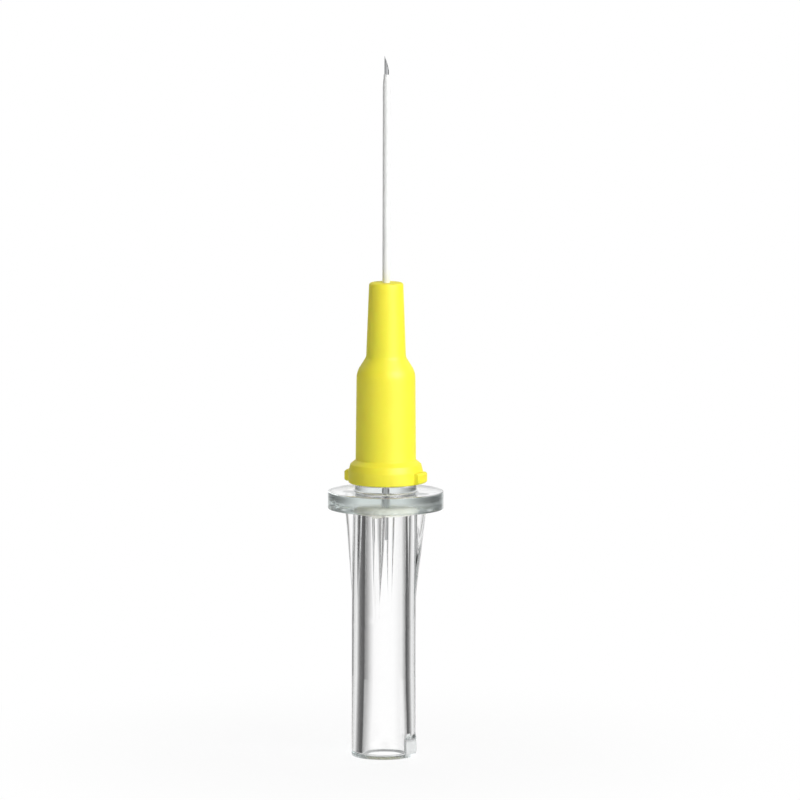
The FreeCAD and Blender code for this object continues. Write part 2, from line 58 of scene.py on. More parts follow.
# %% Camera
VIEW_TURN = math.radians(12.5)
VIEW_RISE = math.radians(7.2)
VIEW_DISTANCE = 750 * MM
VIEW_WIDTH = 73.4 * MM
VIEW_ROLL = math.radians(0.15)
AIM_RIGHT = 1.29 * MM
AIM_HEIGHT = 33.0 * MM
SENSOR_WIDTH = 36

view_right = np.array([math.cos(VIEW_TURN), math.sin(VIEW_TURN), 0])
view_back = np.array([
    math.sin(VIEW_TURN) * math.cos(VIEW_RISE),
    -math.cos(VIEW_TURN) * math.cos(VIEW_RISE),
    math.sin(VIEW_RISE),
])
aim = view_right * AIM_RIGHT + np.array([0, 0, AIM_HEIGHT])

camera_data = bpy.data.cameras.new("studio_camera")
camera_data.sensor_width = SENSOR_WIDTH
camera_data.lens = SENSOR_WIDTH * VIEW_DISTANCE / VIEW_WIDTH
camera = bpy.data.objects.new("studio_camera", camera_data)
bpy.context.scene.collection.objects.link(camera)
camera.location = aim + view_back * VIEW_DISTANCE
camera.rotation_euler = (math.pi / 2 - VIEW_RISE, 0, VIEW_TURN)
camera.rotation_euler.rotate_axis("Z", VIEW_ROLL)
bpy.context.scene.camera = camera
bpy.context.scene.view_settings.view_transform = "Standard"
print(f"lens {camera_data.lens:.0f} mm, camera {camera.location.z / MM:.0f} mm above the floor")

# %% [markdown]
# ## Sections, drawn as rounded outlines
# A mould maker draws the section of a turned cavity and breaks every edge with a small radius,
# because sharp edges chip and look wrong. Here a section is a closed loop of corners, each with its
# own rounding, and one function turns it into points. It could be a bevelled curve object, but points
# in an array can be carried round the axis and bent with plain formulas.

# %% Round the corners of an outline
ARC_STEPS = 6
LARGEST_SHARE = 0.45
TINY = 1e-6


def along(start, end, longest):
    """Points evenly spaced on a straight line, without its end: start plus each share of the way to
    the end."""
    count = max(1, math.ceil(np.linalg.norm(end - start) / longest))
    share = np.linspace(0, 1, count, endpoint=False)[:, None]
    return start + share * (end - start)


def rounded_loop(corners, longest):
    """Points of a closed outline in millimetres, from corners given as radius, height and rounding.
    At each corner a circle touches both edges, and the arc runs through equal angles from one to the
    other."""
    spots = np.array([corner[:2] for corner in corners], float)
    before = np.roll(spots, 1, axis=0) - spots
    after = np.roll(spots, -1, axis=0) - spots
    length_before = np.linalg.norm(before, axis=1)
    length_after = np.linalg.norm(after, axis=1)
    before /= length_before[:, None]
    after /= length_after[:, None]
    half = np.arccos(np.clip((before * after).sum(axis=1), -1, 1)) / 2
    wanted = np.array([corner[2] for corner in corners]) / np.tan(half)
    cutback = np.minimum(wanted, LARGEST_SHARE * np.minimum(length_before, length_after))
    radius = cutback * np.tan(half)
    arcs = []
    for spot, back, ahead, cut, turn, size in zip(spots, before, after, cutback, half, radius):
        if cut < TINY:
            arcs.append(spot[None, :])
            continue
        centre = spot + (back + ahead) / np.linalg.norm(back + ahead) * size / math.sin(turn)
        start = spot + back * cut - centre
        end = spot + ahead * cut - centre
        whole = math.pi - 2 * turn
        angle = np.linspace(0, whole, ARC_STEPS + 1)[:, None]
        arcs.append(centre + (np.sin(whole - angle) * start + np.sin(angle) * end) / math.sin(whole))
    pieces = []
    for arc, following in zip(arcs, arcs[1:] + arcs[:1]):
        pieces += [arc[:-1], along(arc[-1], following[0], longest)]
    return np.concatenate(pieces)


# %% [markdown]
# ## One closed skin for each piece
# All six pieces have a hole along the axis, so each one's skin is a grid that closes on itself both
# ways, like the skin of a ring: no seam, no pole and no cap. The mesh is filled from whole arrays,
# and the volume that the faces enclose is worked out from them too. It tells whether they point
# outwards, and it can be compared with the volume of the solid that the piece stands for.

# %% Make a mesh from a closed grid
def enclosed_volume(points, faces):
    """Sum over triangles of the dot of one corner with the cross of the other two, divided by six."""
    first, second, third, fourth = (points[faces[:, corner]] for corner in range(4))
    halves = np.cross(second, third) + np.cross(third, fourth)
    return float((first * halves).sum() / 6)


def ring_mesh(name, grid):
    """A piece whose skin is a grid of points, rows by columns by three, in millimetres. Each face
    joins a point to its next in the column and the row, and the last of each joins the first."""
    rows, columns = grid.shape[:2]
    number = np.arange(rows * columns).reshape(rows, columns)
    beside = np.roll(number, -1, axis=1)
    above = np.roll(number, -1, axis=0)
    across = np.roll(beside, -1, axis=0)
    faces = np.stack([number, beside, across, above], axis=-1).reshape(-1, 4)
    points = grid.reshape(-1, 3)
    volume = enclosed_volume(points, faces)
    if volume < 0:
        faces = faces[:, ::-1]
    mesh = bpy.data.meshes.new(name)
    mesh.vertices.add(len(points))
    mesh.vertices.foreach_set("co", (points * MM).ravel())
    mesh.loops.add(faces.size)
    mesh.loops.foreach_set("vertex_index", faces.ravel())
    mesh.polygons.add(len(faces))
    mesh.polygons.foreach_set("loop_start", np.arange(0, faces.size, 4))
    mesh.polygons.foreach_set("use_smooth", np.ones(len(faces), bool))
    mesh.update(calc_edges=True)
    mesh.validate()
    piece = bpy.data.objects.new(name, mesh)
    bpy.context.scene.collection.objects.link(piece)
    print(f"{name}: {len(faces)} faces round {abs(volume):.2f} mm3")
    return piece


def turned(section, columns):
    """A section of radii and heights carried once round the axis: x and y are the radius times the
    cosine and the sine of each column's angle."""
    angle = np.linspace(0, 2 * math.pi, columns, endpoint=False)
    radius = section[:, :1]
    height = np.broadcast_to(section[:, 1:], (len(section), columns))
    return np.stack([radius * np.cos(angle), radius * np.sin(angle), height], axis=-1)


# %% [markdown]
# ## The clear hub
# The clear hub is one injection moulding: a flash chamber open at the rear, a thumb flange, and the
# tapered nose that plugs the yellow hub. Four thin gussets run down from the flange and ease into the
# barrel, and a low patch near the rear end hides the cut-off gate. Joining bodies with a boolean
# would leave slivers, which clear plastic shows as dark threads. A gusset is a bump in the outline of
# each cross-section instead: its face, its rounded corner, its flank and its root are worked out for
# every height at once, and the columns of the grid follow them, so that the edges stay crisp.

# %% Sizes of the clear hub, in millimetres
BARREL_RADIUS = 2.95
SOCKET_RADIUS = 2.15
SOCKET_DEPTH = 7.3
LUER_SLOPE = 0.03
LEAD_IN = 0.3
ROOF_RADIUS = 1.87
ROOF_HEIGHT = 23.3
ROOF_CHAMFER = 0.3
HOLE_RADIUS = 0.225
FLANGE_RADIUS = 5.315
FLANGE_FOOT = 23.0
FLANGE_TOP = 24.6
BOSS_RADIUS = 2.83
BOSS_TOP = 25.3
NOSE_ROOT = 2.1115
NOSE_TIP = 32.8
NOSE_TIP_RADIUS = NOSE_ROOT - LUER_SLOPE * (NOSE_TIP - BOSS_TOP)
SMALL_ROUND = 0.06
REAR_ROUND = 0.14
MOUTH_ROUND = 0.3
ROOT_ROUND = 0.14
ROOF_ROUND = 0.2
SOCKET_END_ROUND = 0.4
NOSE_ROUND = 0.2
HUB_STEP = 0.25

hub_section = rounded_loop([
    (HOLE_RADIUS, NOSE_TIP, SMALL_ROUND),
    (HOLE_RADIUS, ROOF_HEIGHT, SMALL_ROUND),
    (ROOF_RADIUS - ROOF_CHAMFER, ROOF_HEIGHT, ROOF_ROUND),
    (ROOF_RADIUS, ROOF_HEIGHT - ROOF_CHAMFER, ROOF_ROUND),
    (SOCKET_RADIUS - LUER_SLOPE * SOCKET_DEPTH, SOCKET_DEPTH, SOCKET_END_ROUND),
    (SOCKET_RADIUS - LUER_SLOPE * LEAD_IN, LEAD_IN, MOUTH_ROUND),
    (SOCKET_RADIUS + LEAD_IN, 0, MOUTH_ROUND),
    (BARREL_RADIUS, 0, REAR_ROUND),
    (BARREL_RADIUS, FLANGE_FOOT, ROOT_ROUND),
    (FLANGE_RADIUS, FLANGE_FOOT, SMALL_ROUND),
    (FLANGE_RADIUS, FLANGE_TOP, SMALL_ROUND),
    (BOSS_RADIUS, FLANGE_TOP, ROOT_ROUND),
    (BOSS_RADIUS, BOSS_TOP, SMALL_ROUND),
    (NOSE_ROOT, BOSS_TOP, ROOT_ROUND),
    (NOSE_TIP_RADIUS, NOSE_TIP, NOSE_ROUND),
], HUB_STEP)
print(f"hub section: {len(hub_section)} points")

# %% Gussets, as the outline of each cross-section
FIN_COUNT = 4
FIN_REACH = 3.83
FIN_FOOT = 13.3
FIN_FOOT_RADIUS = 2.92
FIN_BEND = 16.2
FIN_SLOPE = (FIN_REACH - FIN_FOOT_RADIUS) / (FLANGE_FOOT - (FIN_FOOT + FIN_BEND) / 2)
FIN_TOP_HALF = 0.6
FIN_FOOT_HALF = 0.2
FIN_ROOT = 0.12
LEAST_ROOM = 0.002
CORNER_OF_HALF = 0.95
CORNER_OF_ROOM = 0.7
ROOT_OF_ROOM = 0.28
FACE_POINTS = 4
CORNER_POINTS = 4
FLANK_POINTS = 5
ROOT_POINTS = 4
BARREL_POINTS = 12


def fin_reach(height):
    """Distance of a gusset's face from the axis: a straight slope under the flange, then a parabola
    whose slope fades to nothing at the foot."""
    slope_part = FIN_REACH - FIN_SLOPE * (FLANGE_FOOT - height)
    curve_part = FIN_FOOT_RADIUS + FIN_SLOPE * (height - FIN_FOOT) ** 2 / (2 * (FIN_BEND - FIN_FOOT))
    return np.where(height > FIN_BEND, slope_part, curve_part)


def half_outline(reach, half):
    """Half of one gusset and the barrel beside it, for each reach and each half thickness, as x along
    the gusset and y across it. Five stretches follow one another: flat face, rounded corner, flank,
    hollow root and the barrel's circle. The corner and the root shrink with the room that the gusset
    leaves them."""
    half = half[:, None]
    root_line = np.sqrt(BARREL_RADIUS ** 2 - half ** 2)
    room = np.maximum(reach[:, None] - root_line, LEAST_ROOM)
    face = root_line + room
    corner = np.minimum(CORNER_OF_HALF * half, CORNER_OF_ROOM * room)
    root = np.minimum(FIN_ROOT, ROOT_OF_ROOM * room)
    root_x = np.sqrt((BARREL_RADIUS + root) ** 2 - (half + root) ** 2)
    share = [np.linspace(0, 1, count, endpoint=False)[None, :] for count in (
        FACE_POINTS, CORNER_POINTS, FLANK_POINTS, ROOT_POINTS)]
    last = np.linspace(0, 1, BARREL_POINTS)[None, :]
    quarter = share[1] * math.pi / 2
    touch = np.arctan2(half + root, root_x)
    sweep = share[3] * (math.pi / 2 - touch)
    ring = touch + last * (math.pi / FIN_COUNT - touch)
    x = np.concatenate([
        face + 0 * share[0],
        face - corner + corner * np.cos(quarter),
        face - corner + share[2] * (root_x - face + corner),
        root_x - root * np.sin(sweep),
        BARREL_RADIUS * np.cos(ring),
    ], axis=1)
    y = np.concatenate([
        share[0] * (half - corner),
        half - corner + corner * np.sin(quarter),
        half + 0 * share[2],
        half + root - root * np.cos(sweep),
        BARREL_RADIUS * np.sin(ring),
    ], axis=1)
    return x, y


# %% Carry the section round, with its gussets and its gate patch
PAD_TURN = math.radians(-14)
PAD_HALF = math.radians(21)
PAD_EDGE = math.radians(1.6)
PAD_PROUD = 0.12
PAD_FOOT = 0.35
PAD_TOP = 2.05
PAD_SLOPE = 0.5
PAD_STEP = 0.06
FOOT_FADE = 1.2
BARREL_SHIFT = 0.15
END_STEP = 0.05
POLISH = 0.02
RIM_GRAIN = 0.18
END_GRAIN = 0.35
PAD_GRAIN = 0.5


def ease(low, high, value):
    """A step from 0 to 1 between two values, three times the square less twice the cube of the
    share."""
    share = np.clip((value - low) / (high - low), 0, 1)
    return share * share * (3 - 2 * share)


def hub_grid(section):
    """The hub's skin, and how grainy each point of it is. A row's columns are spread evenly, and on
    the barrel's outside and under the flange they move, by a weight that fades out, to the gussets'
    outline. The gate patch then adds to the radius. Last, the barrel is set a little off the axis,
    its outside by the whole shift and its bore by half of it, because such a long moulding bends as
    it cools and the melt pushes its core aside."""
    radius, height = section[:, :1], section[:, 1:]
    low = np.clip(section[:, 1], FIN_FOOT, FLANGE_FOOT)
    half = np.interp(low, [FIN_FOOT, FLANGE_FOOT], [FIN_FOOT_HALF, FIN_TOP_HALF])
    x, y = half_outline(fin_reach(low), half)
    half_turn = np.arctan2(y, x)
    half_bump = np.hypot(x, y) - BARREL_RADIUS
    even = np.broadcast_to(np.linspace(0, math.pi / FIN_COUNT, x.shape[1]), x.shape)
    outside = (radius > BARREL_RADIUS - TINY) & (height < FLANGE_FOOT + TINY)
    under_flange = ease(FLANGE_RADIUS - SMALL_ROUND, BARREL_RADIUS + ROOT_ROUND, radius)
    weight = outside * under_flange * ease(FIN_FOOT - FOOT_FADE, FIN_FOOT, height)
    half_turn = even + weight * (half_turn - even)
    half_bump = weight * half_bump
    turn = np.concatenate([-half_turn[:, -2:0:-1], half_turn], axis=1)
    bump = np.concatenate([half_bump[:, -2:0:-1], half_bump], axis=1)
    fins = np.arange(FIN_COUNT) * 2 * math.pi / FIN_COUNT
    angle = (fins[None, :, None] + turn[:, None, :]).reshape(len(section), -1)
    grown = radius + np.tile(bump, (1, FIN_COUNT))
    off_pad = np.abs(np.angle(np.exp(1j * (angle - PAD_TURN))))
    pad = ease(PAD_HALF + PAD_EDGE / 2, PAD_HALF - PAD_EDGE / 2, off_pad)
    pad = pad * ease(PAD_FOOT - PAD_STEP, PAD_FOOT + PAD_STEP, height)
    pad = pad * np.clip((PAD_TOP - height) / PAD_SLOPE, 0, 1)
    on_wall = np.abs(radius - BARREL_RADIUS) < TINY
    grown = grown + PAD_PROUD * pad * on_wall
    high = np.broadcast_to(height, angle.shape)
    outer = ease(SOCKET_RADIUS + LEAD_IN, BARREL_RADIUS - REAR_ROUND, radius)
    off_axis = BARREL_SHIFT * (1 + outer) / 2 * ease(FLANGE_FOOT, FIN_FOOT, height)
    # The rim's value also picks its painted shade, a grey-teal colour set in the material.
    rim = radius > FLANGE_RADIUS - TINY
    end = ease(LEAD_IN + END_STEP, LEAD_IN - END_STEP, height)
    grain = np.maximum((RIM_GRAIN - POLISH) * rim, (END_GRAIN - POLISH) * end)
    grain = POLISH + np.maximum(grain, (PAD_GRAIN - POLISH) * on_wall * pad)
    return np.stack([grown * np.cos(angle) - off_axis, grown * np.sin(angle), high], axis=-1), grain


hub_points, hub_grain = hub_grid(hub_section)
clear_hub = ring_mesh("clear_hub_moulding", hub_points)
grain_layer = clear_hub.data.attributes.new("grain", "FLOAT", "POINT")
grain_layer.data.foreach_set("value", hub_grain.astype(np.float32).ravel())
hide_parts("needle_hub")
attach(clear_hub, "needle_assembly")

# %% [markdown]
# ## The needle
# The needle is a drawn steel tube, cut off square at its tail and ground at its point: one long bevel
# first, then two short grinds turned to each side, which leave a lancet. A boolean would do, but each
# grind is a plane, and the height of a plane over any point of the wall is a one-line formula, so the
# ground rim is the lowest of three heights.

# %% Needle
NEEDLE_RADIUS = 0.205
LUMEN_RADIUS = 0.105
NEEDLE_TAIL = 20.1
NEEDLE_POINT = 64.67
BEVEL_LENGTH = 1.4
LANCET_LENGTH = 0.9
LANCET_TURN = math.radians(30)
NEEDLE_COLUMNS = 64
WALL_ROWS = 40
GROUND_ROWS = 5
GROUND_EDGE = math.radians(40)


def ground_height(x, y):
    """Height of the ground rim over a point of the wall: the lowest of three planes, each falling
    away from the point's side by its length over the tube's width."""
    width = 2 * NEEDLE_RADIUS
    near = NEEDLE_RADIUS * math.cos(LANCET_TURN)
    heights = [NEEDLE_POINT - BEVEL_LENGTH * (x + NEEDLE_RADIUS) / width]
    for turn in (LANCET_TURN, -LANCET_TURN):
        across = x * math.cos(turn) + y * math.sin(turn)
        heights.append(NEEDLE_POINT - LANCET_LENGTH * (across + near) / width)
    return np.minimum.reduce(heights)


def needle_grid():
    """The needle's skin: up its outer wall, in over the ground rim, down the hole and out across the
    tail. A wall's rows share out the way from the tail to the ground rim at each column."""
    angle = np.linspace(0, 2 * math.pi, NEEDLE_COLUMNS, endpoint=False)
    up = np.linspace(0, 1, WALL_ROWS)
    across = np.linspace(0, 1, GROUND_ROWS)[1:-1]
    radius = np.concatenate([
        np.full(up.shape, NEEDLE_RADIUS),
        NEEDLE_RADIUS + across * (LUMEN_RADIUS - NEEDLE_RADIUS),
        np.full(up.shape, LUMEN_RADIUS),
        LUMEN_RADIUS + across * (NEEDLE_RADIUS - LUMEN_RADIUS),
    ])[:, None]
    share = np.concatenate([up, np.ones(across.shape), up[::-1], np.zeros(across.shape)])[:, None]
    x = radius * np.cos(angle)
    y = radius * np.sin(angle)
    z = NEEDLE_TAIL + share * (ground_height(x, y) - NEEDLE_TAIL)
    return np.stack([x, y, z], axis=-1)


steel_needle = ring_mesh("needle_shaft", needle_grid())
steel_needle.data.set_sharp_from_angle(angle=GROUND_EDGE)
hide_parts("needle")
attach(steel_needle, "needle_assembly")

# %% [markdown]
# ## The adhesive
# The needle is glued into the hub from behind. A few drops of resin spread over the chamber's roof,
# and before they cure they creep down the needle and down the wall, so the free surface is hollow
# between the two. The section follows the roof with its chamfer, and two large roundings make the
# hollow. The glue wets both walls, so its skin lies a hair inside them: a gap of air would show as a
# mirror.

# %% Adhesive pool
WETTING = 0.006
BEAD_RIM = 22.4
BEAD_CREEP = 0.15
BEAD_HOLLOW = 0.35
HOLLOW_INNER = 0.75
HOLLOW_OUTER = 1.35
HOLLOW_ROUND = 0.7
BEAD_ROUND = 0.03
BEAD_STEP = 0.2
BEAD_COLUMNS = 120
BEAD_BORE = NEEDLE_RADIUS + WETTING
BEAD_RADIUS = ROOF_RADIUS + WETTING
BEAD_TOP = ROOF_HEIGHT + WETTING

adhesive = ring_mesh("adhesive_pool", turned(rounded_loop([
    (BEAD_BORE, BEAD_RIM - BEAD_CREEP, BEAD_ROUND),
    (HOLLOW_INNER, BEAD_RIM + BEAD_HOLLOW, HOLLOW_ROUND),
    (HOLLOW_OUTER, BEAD_RIM + BEAD_HOLLOW, HOLLOW_ROUND),
    (BEAD_RADIUS, BEAD_RIM, BEAD_ROUND),
    (BEAD_RADIUS, BEAD_TOP - ROOF_CHAMFER, ROOF_ROUND),
    (BEAD_RADIUS - ROOF_CHAMFER, BEAD_TOP, ROOF_ROUND),
    (BEAD_BORE, BEAD_TOP, BEAD_ROUND),
], BEAD_STEP), BEAD_COLUMNS))
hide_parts("needle_adhesive")
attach(adhesive, "needle_assembly")

# %% [markdown]
# ## The yellow hub
# The yellow hub is a moulding too, with a six percent socket inside, a collar with two locking lugs
# at its rear, a soft shoulder and a slim front tube. The lugs span part of the way round only. They
# could be two separate blocks sunk into the collar, but a moulding has one skin, so each lug adds to
# the collar's radius instead, by its own section in height and by a steep step at each of its ends.

# %% Sizes of the yellow hub, in millimetres
HUB_REAR = 25.35
HUB_FRONT = 43.85
LUG_RADIUS = 3.86
LUG_REAR = 25.43
LUG_TOP = 26.48
LUG_BEVEL = 0.16
LUG_STEP = 0.02
LUG_TURN = math.radians(-12)
LUG_HALF = math.radians(16)
LUG_EDGE = math.radians(1.6)
LUG_COUNT = 2
COLLAR_RADIUS = 3.42
REAR_RADIUS = 3.3
REAR_EDGE_ROUND = 0.05
COLLAR_TOP_RADIUS = 3.26
COLLAR_TOP = 27.1
BODY_FOOT_RADIUS = 2.78
BODY_FOOT = 27.5
COLLAR_ROUND = 0.12
BODY_TOP_RADIUS = 2.7
BODY_TOP = 35.6
BODY_TOP_ROUND = 1.9
FRONT_FOOT_RADIUS = 1.83
FRONT_FOOT = 37.0
FRONT_FOOT_ROUND = 0.8
FRONT_RADIUS = 1.57
FRONT_ROUND = 0.25
TUBE_HOLE = 0.365
GRIP_HOLE = 0.47
NECK_FOOT = 40.65
NECK_TOP = 42.55
NECK_TAPER = 0.35
WEDGE_REAR = 38.45
THROAT = 1.385
THROAT_STEP = 0.5
FEMALE_RADIUS = 2.15
FEMALE_DEPTH = 9.6
FEMALE_END = HUB_REAR + FEMALE_DEPTH
MOUTH = 0.15
YELLOW_STEP = 0.5
YELLOW_COLUMNS = 240
YELLOW_EDGE = math.radians(35)

lug_heights = np.array([LUG_REAR, LUG_REAR + LUG_STEP, LUG_REAR + LUG_BEVEL,
                        LUG_TOP - LUG_BEVEL, LUG_TOP - LUG_STEP, LUG_TOP])
lug_radii = LUG_RADIUS - np.array([LUG_RADIUS, LUG_BEVEL, 0, 0, LUG_BEVEL, LUG_RADIUS])

# %% Yellow hub
yellow_section = rounded_loop([
    (TUBE_HOLE, HUB_FRONT, SMALL_ROUND),
    (TUBE_HOLE, NECK_TOP + NECK_TAPER, SMALL_ROUND),
    (GRIP_HOLE, NECK_TOP, SMALL_ROUND),
    (GRIP_HOLE, NECK_FOOT, SMALL_ROUND),
    (THROAT, WEDGE_REAR, SMALL_ROUND),
    (THROAT, FEMALE_END + THROAT_STEP, SMALL_ROUND),
    (FEMALE_RADIUS - LUER_SLOPE * (FEMALE_END - HUB_REAR), FEMALE_END, SMALL_ROUND),
    (FEMALE_RADIUS - LUER_SLOPE * MOUTH, HUB_REAR + MOUTH, SMALL_ROUND),
    (FEMALE_RADIUS + MOUTH, HUB_REAR, SMALL_ROUND),
    (REAR_RADIUS, HUB_REAR, REAR_EDGE_ROUND),
    *((COLLAR_RADIUS, height, 0) for height in lug_heights),
    (COLLAR_TOP_RADIUS, COLLAR_TOP, COLLAR_ROUND),
    (BODY_FOOT_RADIUS, BODY_FOOT, COLLAR_ROUND),
    (BODY_TOP_RADIUS, BODY_TOP, BODY_TOP_ROUND),
    (FRONT_FOOT_RADIUS, FRONT_FOOT, FRONT_FOOT_ROUND),
    (FRONT_RADIUS, HUB_FRONT, FRONT_ROUND),
], YELLOW_STEP)


def yellow_grid(section):
    """The section carried round the axis, with the radius raised to the lugs' own section within
    their span."""
    grid = turned(section, YELLOW_COLUMNS)
    radius, height = section[:, 0], section[:, 1]
    rise = np.maximum(np.interp(height, lug_heights, lug_radii) - radius, 0)
    rise = rise * (radius > FEMALE_RADIUS + MOUTH)
    angle = np.arctan2(grid[..., 1], grid[..., 0])
    off_lug = np.abs(np.angle(np.exp(1j * LUG_COUNT * (angle - LUG_TURN)))) / LUG_COUNT
    span = ease(LUG_HALF + LUG_EDGE / 2, LUG_HALF - LUG_EDGE / 2, off_lug)
    grid[..., :2] *= (1 + rise[:, None] * span / radius[:, None])[..., None]
    return grid


yellow_hub = ring_mesh("catheter_hub_moulding", yellow_grid(yellow_section))
yellow_hub.data.set_sharp_from_angle(angle=YELLOW_EDGE)
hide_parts("catheter_hub")
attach(yellow_hub, "catheter")

# %% [markdown]
# ## The soft tube and its wedge
# The soft tube is extruded, drawn to a thin tip at the front, and spread at its rear over a small
# drawn steel funnel that clamps it in the yellow hub. Both are plain turned sections.

# %% Soft tube
TUBE_RADIUS = 0.35
TUBE_WALL = 0.105
GRIP_BORE = 0.35
FLARE_REAR = 39.85
FLARE_SPREAD = 0.3327
TUBE_TIP = 62.95
TIP_TAPER = 1.0
TIP_RADIUS = 0.27
TIP_BORE = 0.23
TIP_ROUND = 0.02
BEND_ROUND = 0.2
TAPER_ROUND = 1.5
BORE_TAPER_ROUND = 0.5
TUBE_STEP = 0.5
TUBE_COLUMNS = 72

soft_tube = ring_mesh("catheter_tube_soft", turned(rounded_loop([
    (GRIP_BORE + FLARE_SPREAD, FLARE_REAR, 0),
    (GRIP_BORE + TUBE_WALL + FLARE_SPREAD, FLARE_REAR, 0),
    (GRIP_BORE + TUBE_WALL, NECK_FOOT, BEND_ROUND),
    (GRIP_BORE + TUBE_WALL, NECK_TOP, BEND_ROUND),
    (TUBE_RADIUS, NECK_TOP + NECK_TAPER, BEND_ROUND),
    (TUBE_RADIUS, TUBE_TIP - TIP_TAPER, TAPER_ROUND),
    (TIP_RADIUS, TUBE_TIP, TIP_ROUND),
    (TIP_BORE, TUBE_TIP, TIP_ROUND),
    (TUBE_RADIUS - TUBE_WALL, TUBE_TIP - TIP_TAPER, BORE_TAPER_ROUND),
    (TUBE_RADIUS - TUBE_WALL, NECK_TOP + NECK_TAPER, BEND_ROUND),
    (GRIP_BORE, NECK_TOP, BEND_ROUND),
    (GRIP_BORE, NECK_FOOT, BEND_ROUND),
], TUBE_STEP), TUBE_COLUMNS))
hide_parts("catheter_tube")
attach(soft_tube, "catheter")

# %% Wedge
WEDGE_NECK = 0.335
WEDGE_WALL = 0.09
WEDGE_RIM = 1.25
WEDGE_ROUND = 0.02
WEDGE_BEND = 0.15
WEDGE_STEP = 0.4
WEDGE_COLUMNS = 96

wedge = ring_mesh("wedge_funnel", turned(rounded_loop([
    (WEDGE_RIM - WEDGE_WALL, WEDGE_REAR, WEDGE_ROUND),
    (WEDGE_RIM, WEDGE_REAR, WEDGE_ROUND),
    (WEDGE_NECK, NECK_FOOT, WEDGE_BEND),
    (WEDGE_NECK, NECK_TOP, WEDGE_ROUND),
    (WEDGE_NECK - WEDGE_WALL, NECK_TOP, WEDGE_ROUND),
    (WEDGE_NECK - WEDGE_WALL, NECK_FOOT, WEDGE_BEND),
], WEDGE_STEP), WEDGE_COLUMNS))
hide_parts("catheter_wedge")
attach(wedge, "catheter")

# %% [markdown]
# ## Finishes
# Each material is a small tree of nodes, and one helper adds a node with its settings and its links.
# Colours are written as the eye sees them, in sRGB hex, and one function turns them into the linear
# values that the renderer works with. Patterns read object coordinates, whose unit is a metre, so a
# pattern that repeats every millimetre has a scale of a thousand. A mix node has a set of sockets for
# each kind of data, so those are called by number, and the numbers get names here.

# %% Helpers for materials
COLOUR_A, COLOUR_B, COLOUR_RESULT = 6, 7, 2
VALUE_A, VALUE_B = 2, 3


def linear(hex_colour):
    """Linear red, green, blue and alpha of an sRGB hex colour: below 0.04045 a straight line, above
    it a power of 2.4."""
    parts = np.array([int(hex_colour[start:start + 2], 16) for start in (1, 3, 5)]) / 255
    straight = parts / 12.92
    curved = ((parts + 0.055) / 1.055) ** 2.4
    return (*np.where(parts <= 0.04045, straight, curved), 1)


def add_node(tree, kind, inputs=None, **settings):
    """Add one node. Each input is a value for its socket, or another node's output to link to it."""
    node = tree.nodes.new(kind)
    for name, value in settings.items():
        setattr(node, name, value)
    for socket, value in (inputs or {}).items():
        if isinstance(value, bpy.types.NodeSocket):
            tree.links.new(value, node.inputs[socket])
        else:
            node.inputs[socket].default_value = value
    return node


def new_finish(name, piece):
    """A material with an empty tree, laid on one piece; show gives it its output."""
    material = bpy.data.materials.new(name)
    material.use_nodes = True
    material.node_tree.nodes.clear()
    piece.data.materials.append(material)
    return material.node_tree


def show(tree, shader):
    """Send a shader to the material's surface."""
    output = add_node(tree, "ShaderNodeOutputMaterial")
    tree.links.new(shader.outputs[0], output.inputs["Surface"])


def per_mm(millimetres):
    """Scale of a pattern on object coordinates whose features are this many millimetres wide."""
    return 1 / (millimetres * MM)


# %% [markdown]
# ## Clear polycarbonate
# The clear hub is polycarbonate, moulded in a polished cavity. It bends light more than glass does,
# index 1.585, so its thick wall shows a bright middle and dark bands near the edges. Melt flowing
# into the cavity leaves faint waves in the skin. They are too shallow to see as relief, but they make
# the bands waver. Only the flange's rim, the gate patch and the rear end, which a sleeve pushes out
# of the mould, come from unpolished steel. Their fine grain blurs what is seen through them, and the
# mesh carries that roughness as a value at each point. The rim's value also paints it grey-teal, a
# painted shade for the darker surroundings seen through it. The gate patch is the grainiest: it also
# scatters some of the light that falls on it and looks pale.
#
# Two shortcuts replace paths that the renderer can't follow. Lamp rays pass the wall as if it were
# plain clear film, and light the adhesive and the floor as they do on a real tray. And a ray that was
# reflected four times inside the wall leaves it straight, and each surface on its way halves it,
# where it would otherwise be given up and turn black.

# %% Clear polycarbonate
FLOW_WIDTH = 1.6
FLOW_DEPTH = 0.02
MOST_REFLECTIONS = 3.5
FROSTED_SHARE = 0.55

tree = new_finish("clear_moulded_polycarbonate", clear_hub)
place = add_node(tree, "ShaderNodeTexCoord")
stretched = add_node(tree, "ShaderNodeMapping", {
    "Vector": place.outputs["Object"], "Scale": (1, 1, 0.25)})
flow = add_node(tree, "ShaderNodeTexNoise", {
    "Vector": stretched.outputs["Vector"], "Scale": per_mm(FLOW_WIDTH), "Detail": 2.0})
waves = add_node(tree, "ShaderNodeBump", {
    "Height": flow.outputs["Fac"], "Strength": 0.3, "Distance": FLOW_DEPTH * MM})
unpolished = add_node(tree, "ShaderNodeAttribute", attribute_name="grain")
